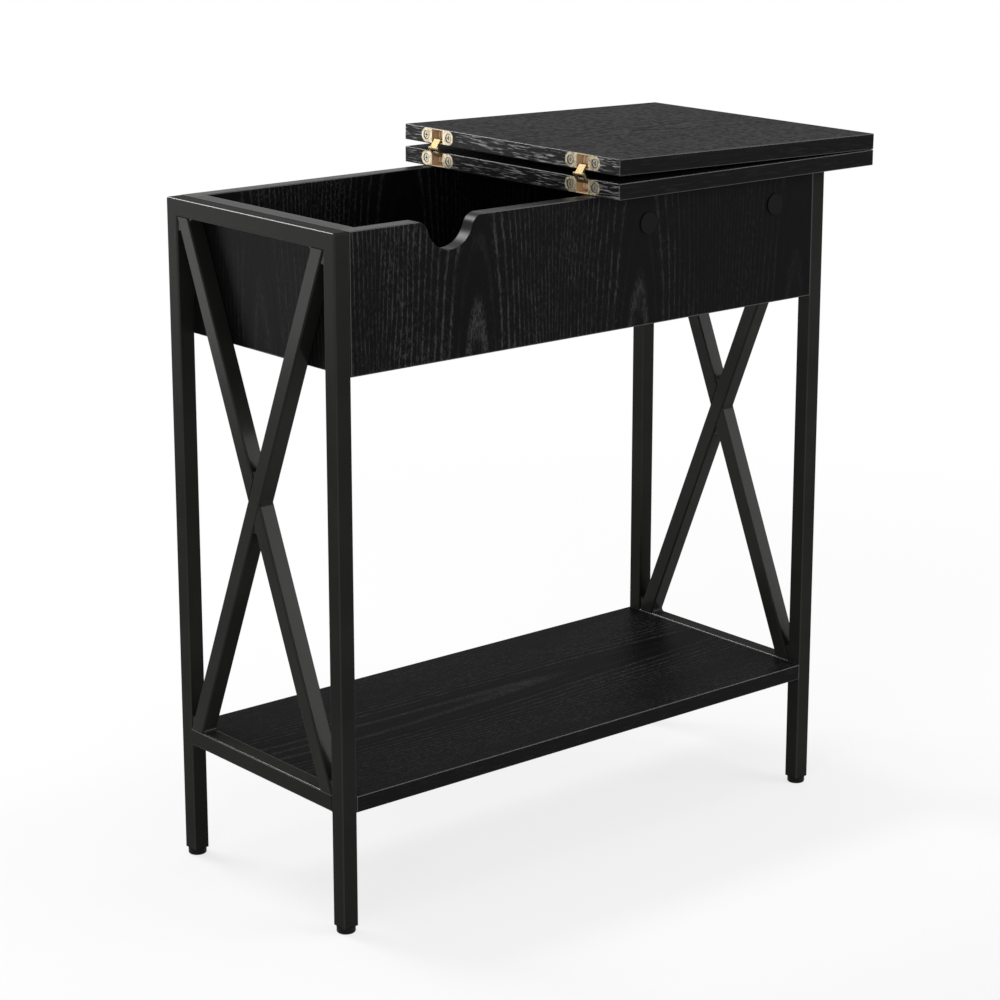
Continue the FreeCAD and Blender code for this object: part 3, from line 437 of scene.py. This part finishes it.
def board_finish(board, across, along, arch, apex, seed, slope=0.15, gloss=0.024,
                 tips=(0.006, 0.02), polish=0.08, contrast=(1.0, 1.0), leather=0.0, tilt=0.0):
    """Grain for one board. across and along are its axes, arch is where one arch stands and
    apex where it closes, seed picks the stretch of the print and slope is how fast an arch
    opens. gloss is that of the foil all over and polish what its edges have on top, tips are the
    tones of the flecks on the end edges, which on the tops are set light as painted light on hinge
    edges that lie in shade, contrast the strength of the print at its two sides, leather that of
    the pebbled press on the face, which shines between the lines and lightens the colour a little as
    a painted sheen on the pebbles, and tilt its slope down towards the right."""
    depth = "XYZ".replace(across, "").replace(along, "")
    material, shader, place = new_finish(board + "_foil")
    place = place.node("ShaderNodeMapping", {"Vector": place, "Rotation": (0, -tilt, 0)})
    levelled = [Matrix.Rotation(-tilt, 3, "Y") @ vertex.co for vertex in node[board].data.vertices]
    low = [min(point[index] for point in levelled) for index in range(3)]
    high = [max(point[index] for point in levelled) for index in range(3)]

    def stretch(u, v, d, shift):
        """The place counted in u, v and d steps to the metre across, along and through the board."""
        units = {across: u, along: v, depth: d}
        return place.stretched(units["X"], units["Y"], units["Z"], shift)

    # Rings round each arch, from its middle line and its apex
    u = place.split(across)
    v = place.split(along)
    waver = stretch(28.0, 9.0, 1.0, seed).noise(detail=1.0)
    drift = stretch(7.0, 2.5, 1.0, seed + 3.7).noise(detail=0.0)
    u = u + (waver - 0.5) * line_waver + (drift - 0.5) * line_drift
    turns = (u - arch) / print_repeat
    from_arch = (turns - turns.maths("ROUND")) * print_repeat
    cut = (v - apex) * slope + arch_start
    ring = (from_arch * from_arch + cut * cut).maths("SQRT")
    count = (ring + ring * ring * ring_crowding) / ring_step
    wave = ((count.maths("FRACT") - 0.5) * 2.0).maths("ABSOLUTE")

    def band(rise_from, rise_to, fall_from, fall_to):
        """1 on the rings between those sizes, 0 on smaller and larger ones."""
        return ring.ramp(rise_from, rise_to) * ring.ramp(fall_from, fall_to, 1.0, 0.0)

    # The lines are broken up by pores, flecks lie between them, and round each arch stand a pale
    # crown and a plain band
    pores = stretch(620.0, 240.0, 620.0, seed).noise(detail=3.0, roughness=0.7)
    broken = stretch(150.0, 50.0, 1.0, seed + 2.9).noise(detail=1.0).ramp(0.36, 0.56, 0.35, 1.0)
    zone = stretch(22.0, 6.0, 1.0, seed + 9.1).noise(detail=1.0)
    line = (wave + (pores - 0.5) * 0.5).ramp(0.58, 0.92)
    plain = band(0.0150, 0.0170, 0.0255, 0.0285)
    crown = band(0.0090, 0.0120, 0.0140, 0.0165)
    fade = ring.ramp(0.030, 0.080, 1.0, 0.62)
    lines = line * fade * zone.ramp(0.28, 0.6, 0.45, 1.0) * pores.ramp(0.38, 0.6, 0.2, 1.0) * broken
    flecks = pores.ramp(0.50, 0.70) * zone.ramp(0.42, 0.70, 0.15, 0.7)
    pale = lines.maths("MAXIMUM", flecks) * (1.0 - plain * 0.85)
    pale = pale.maths("MAXIMUM", crown * pores.ramp(0.36, 0.62, 0.0, 0.6))
    side_index = "XYZ".index(across)
    pale = pale * place.split(across).ramp(low[side_index], high[side_index], *contrast)
    pebble = stretch(260.0, 180.0, 260.0, seed + 5.2).noise(detail=2.0, roughness=0.5)
    # The pebbles also lighten the colour a little: a painted sheen, on top of the real press in the bump.
    pale = pale.maths("MAXIMUM", pebble.ramp(0.40, 0.60) * leather)

    # Edges, end edges and the arrises, where the second least of the three gaps is small too
    gaps = [gap(place, low, high, axis) for axis in (across, along, depth)]
    on_edge = gaps[2].ramp(edge_from, edge_to)
    on_tip = on_edge * gaps[1].ramp(edge_from, edge_to, 1.0, 0.0)
    least = gaps[0].maths("MINIMUM", gaps[1])
    most = gaps[0].maths("MAXIMUM", gaps[1])
    second_least = least.maths("MAXIMUM", most.maths("MINIMUM", gaps[2]))
    arris = second_least.ramp(arris_from, arris_to, 0.6, 0.0)
    cluster = stretch(45.0, 45.0, 260.0, seed + 6.4).noise(detail=1.0).ramp(0.40, 0.58, 0.3, 1.0)
    dash = stretch(62.0, 62.0, 1000.0, seed + 1.3).noise(detail=2.0, roughness=0.5)
    streak = dash.ramp(0.53, 0.62) * cluster

    foil = pale.colour((0.0039, 0.0039, 0.0039), (0.033, 0.033, 0.034))
    side = streak.colour((0.005, 0.005, 0.005), (0.010, 0.010, 0.010))
    # On the end edges the flecks take the tips tones; on the two tops these are set light, as painted
    # light on hinge edges that lie in shade.
    tip = streak.colour([tips[0]] * 3, [tips[1]] * 3)
    tone = on_edge.colour(foil, on_tip.colour(side, tip))
    sheen = pebble.ramp(0.38, 0.60, 0.35, 1.0) * (1.0 - line * fade * 0.6) * (1.0 - on_edge)
    rubbed = arris.maths("MAXIMUM", on_edge * polish)
    relief = pores + line * 0.5 + pebble * (leather * leather_depth)
    set_values(shader, Specular_IOR_Level=gloss, Coat_Roughness=0.3)
    # The arrises are lightened in colour as a painted highlight, besides their real polish in the coat.
    set_values(shader, Base_Color=(arris * 0.8).colour(tone, painted_arris_highlight))
    set_values(shader, Roughness=pale * 0.12 + (0.42 - on_edge * 0.08))
    set_values(shader, Coat_Weight=rubbed.maths("MAXIMUM", sheen * (leather * leather_gloss)))
    set_values(shader, Normal=relief.bump(pore_depth))
    give(material, board)


board_finish("front_panel", "X", "Z", -0.155, 0.499, 1.0, polish=0.2, contrast=(1.9, 0.2))
board_finish("rear_panel", "X", "Z", -0.060, 0.505, 2.0, polish=0.2, contrast=(1.8, 1.0))
board_finish("left_end_panel", "Y", "Z", 0.001, 0.513, 3.0, contrast=(0.65, 0.4))
board_finish("right_end_panel", "Y", "Z", 0.020, 0.510, 4.0)
board_finish("box_floor", "Y", "X", 0.030, 0.0, 5.0, slope=0.06)
# The light tips on the two tops are painted light on their hinge edges, which lie in shade.
board_finish("fixed_top", "Y", "X", 0.030, 0.1, 6.0, slope=0.06, gloss=0.001,
             tips=(0.009, 0.22), leather=0.15)
fixed_low, fixed_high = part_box("fixed_top")
flap_low, flap_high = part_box("flap")
flap_rise = flap_high.z - flap_low.z - (fixed_high.z - fixed_low.z)
flap_tilt = math.asin(flap_rise / (fixed_high.x - fixed_low.x))
board_finish("flap", "Y", "X", -0.004, 0.218, 7.0, slope=-0.10, gloss=0.001,
             tips=(0.022, 0.34), leather=0.15, tilt=flap_tilt)
board_finish("shelf", "Y", "X", 0.010, 0.0, 8.0, slope=0.05, gloss=0.006)


# Concealed hinges: zinc cups with a brass coat, let into the board edges, each held by two
# cross-head screws with a painted shadow round the head, where the gap lies in shade.
# Brass-coloured straps join the cups.
screw_y = 0.0154                  # cup screws from the hinge's middle
hinge_y = 0.097                   # hinges from the middle of the table
slot_half = 0.0075                # slot for the links, from the hinge's middle
head_from, head_to = 0.0037, 0.0045      # outer rim of the painted shadow round a screw's head
slot_rim = (0.0001, 0.0003)       # how far the painted copper light shows past the slot, and dies away
# painted shadow: the colour of the shade in the gap round each screw head
painted_gap_shadow = (0.05, 0.035, 0.02)
# painted light: a light copper for the slot walls, which lie in shade
slot_painted_copper_light = (0.74, 0.55, 0.34)
for end in ("front", "rear"):
    for board in ("fixed", "flap"):
        cup = end + "_" + board + "_hinge_cup"
        low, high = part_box(cup)
        brass, shader, place = new_finish(cup + "_brass")
        from_hinge = (place.split("Y").maths("ABSOLUTE") - hinge_y).maths("ABSOLUTE")
        from_screw = from_hinge - screw_y
        from_middle = place.split("Z") - (low.z + high.z) / 2
        ring = (from_screw * from_screw + from_middle * from_middle).maths("SQRT")
        in_slot = from_hinge.ramp(slot_half + slot_rim[0], slot_half + slot_rim[1], 1.0, 0.0)
        cloud = place.noise(scale=300.0, detail=2.0)
        coat = cloud.ramp(0.35, 0.65).colour((0.27, 0.225, 0.14), (0.54, 0.475, 0.35))
        # A painted shadow ring round each screw head, where the gap lies in shade.
        face = ring.ramp(head_from, head_to).colour(painted_gap_shadow, coat)
        # Painted light: the shaded slot walls are coloured light copper and made less metallic, standing
        # in for the lit leaves behind them.
        set_values(shader, Base_Color=in_slot.colour(face, slot_painted_copper_light))
        set_values(shader, Roughness=cloud * 0.2 + 0.36, Normal=cloud.bump(0.0001))
        set_values(shader, Metallic=1.0 - in_slot * 0.8)
        give(brass, cup)


def clouded(name, low, high, dull, scale, detail=2.0, skin=0.0, **values):
    """A finish whose tone runs in clouds from low to high: dull is its least roughness, scale
    and detail are those of the clouds, skin their height and values are more of its sockets."""
    material, shader, place = new_finish(name)
    cloud = place.noise(scale=scale, detail=detail)
    set_values(shader, Base_Color=cloud.colour(low, high), Roughness=cloud * 0.2 + dull, **values)
    if skin:
        set_values(shader, Normal=cloud.bump(skin))
    return material


strap = clouded("hinge_strap", (0.20, 0.150, 0.070), (0.32, 0.245, 0.125), 0.44, 500.0, Metallic=1.0)
screw = clouded("screw_metal", (0.27, 0.255, 0.215), (0.40, 0.385, 0.34), 0.34, 400.0, Metallic=1.0)
for end in ("front", "rear"):
    give(strap, end + "_lower_link", end + "_upper_link")
    give(screw, end + "_link_rivets")
    for board in ("fixed", "flap"):
        give(screw, end + "_" + board + "_hinge_cup_screws", end + "_" + board + "_hinge_pin")

# Leaves deep in each cup, behind the links: four copper-coloured plates with rounded noses on a
# cross pin. One set is made and copied into the four cups.
copper = clouded("leaf_copper", (0.86, 0.62, 0.38), (0.96, 0.76, 0.52), 0.45, 500.0, Metallic=0.2)
leaf_count = 4
leaf_size = (0.009, 0.0025, 0.0090)
leaf_step = 0.0035
leaf_nose = 0.003                 # rounding of a nose
leaf_depth = 0.0070               # noses of the leaves behind the mouth of the cup
slit_half = 0.0005                # mouth of a cup from the line of the hinges
pin_radius = 0.0008
pin_length = 0.0146
pin_back = 0.0015                 # pin behind the middle of the leaves
first_y = -(leaf_count - 1) / 2 * leaf_step
bpy.ops.object.select_all(action="DESELECT")
bpy.ops.mesh.primitive_cube_add(size=1, scale=leaf_size, location=(0, first_y, 0))
leaves = bpy.context.object
settle()
bpy.ops.object.mode_set(mode="EDIT")
bpy.ops.mesh.select_mode(type="EDGE")
bpy.ops.mesh.select_all(action="DESELECT")
bpy.ops.object.mode_set(mode="OBJECT")
for edge in leaves.data.edges:
    ends = [leaves.data.vertices[index].co for index in edge.vertices]
    on_nose = all(point.x < 0 for point in ends)
    edge.select = on_nose and abs(ends[0].y - ends[1].y) > leaf_size[1] / 2
bpy.ops.object.mode_set(mode="EDIT")
bpy.ops.mesh.bevel(offset=leaf_nose, segments=5)
bpy.ops.object.mode_set(mode="OBJECT")
rank = leaves.modifiers.new("rank", "ARRAY")
rank.count = leaf_count
rank.use_relative_offset = False
rank.use_constant_offset = True
rank.constant_offset_displace = (0, leaf_step, 0)
bpy.ops.object.modifier_apply(modifier="rank")
bpy.ops.mesh.primitive_cylinder_add(vertices=32, radius=pin_radius, depth=pin_length,
                                    location=(pin_back, 0, 0), rotation=(math.pi / 2, 0, 0))
pick(leaves, bpy.context.object)
settle()
bpy.ops.object.join()
leaves.data.materials.append(copper)
bpy.ops.object.shade_smooth_by_angle(angle=smooth_angle)
for end, side in (("front", -1), ("rear", 1)):
    for board, body in (("fixed", "table"), ("flap", "flap")):
        low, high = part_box(end + "_" + board + "_hinge_cup")
        pack = leaves.copy()
        pack.data = leaves.data.copy()
        pack.name = end + "_" + board + "_hinge_leaves"
        scene.collection.objects.link(pack)
        inner = middle_x + slit_half + leaf_depth + leaf_size[0] / 2
        pack.location = (inner, side * hinge_y, (low.z + high.z) / 2)
        pick(pack)
        settle()
        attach(pack, body)
bpy.data.objects.remove(leaves, do_unlink=True)


# Small hardware: zinc-plated cam fittings, bolts and screws, beech dowels, and moulded black
# plastic for the feet, the leg plugs and the round caps over the cams.
zinc = clouded("zinc_plate", (0.52, 0.54, 0.56), (0.66, 0.67, 0.68), 0.3, 250.0, detail=3.0, Metallic=1.0)
give(zinc, "top_cam_locks", "top_cam_bolts", "box_cam_locks", "box_cam_bolts", "box_screws")
give(zinc, "rail_nuts", "shelf_screws")
plastic = clouded("black_plastic", (0.005, 0.005, 0.005), (0.009, 0.009, 0.009), 0.38, 1400.0,
                  skin=0.0001, Specular_IOR_Level=0.06)
give(plastic, "leg_inserts")
for end in ("front", "rear"):
    for side in ("left", "right"):
        give(zinc, end + "_" + side + "_foot_stud")
        give(plastic, end + "_" + side + "_foot_pad")

caps = clouded("cap_film", (0.005, 0.005, 0.005), (0.008, 0.008, 0.008), 0.4, 900.0,
               Specular_IOR_Level=0.03)
give(caps, "cam_cover_caps")

beech, shader, place = new_finish("beech")
fibre = place.stretched(60.0, 60.0, 400.0).noise(scale=1.0, detail=4.0)
set_values(shader, Base_Color=fibre.colour((0.48, 0.30, 0.17), (0.66, 0.46, 0.28)))
set_values(shader, Roughness=fibre * 0.2 + 0.5)
give(beech, "dowels")
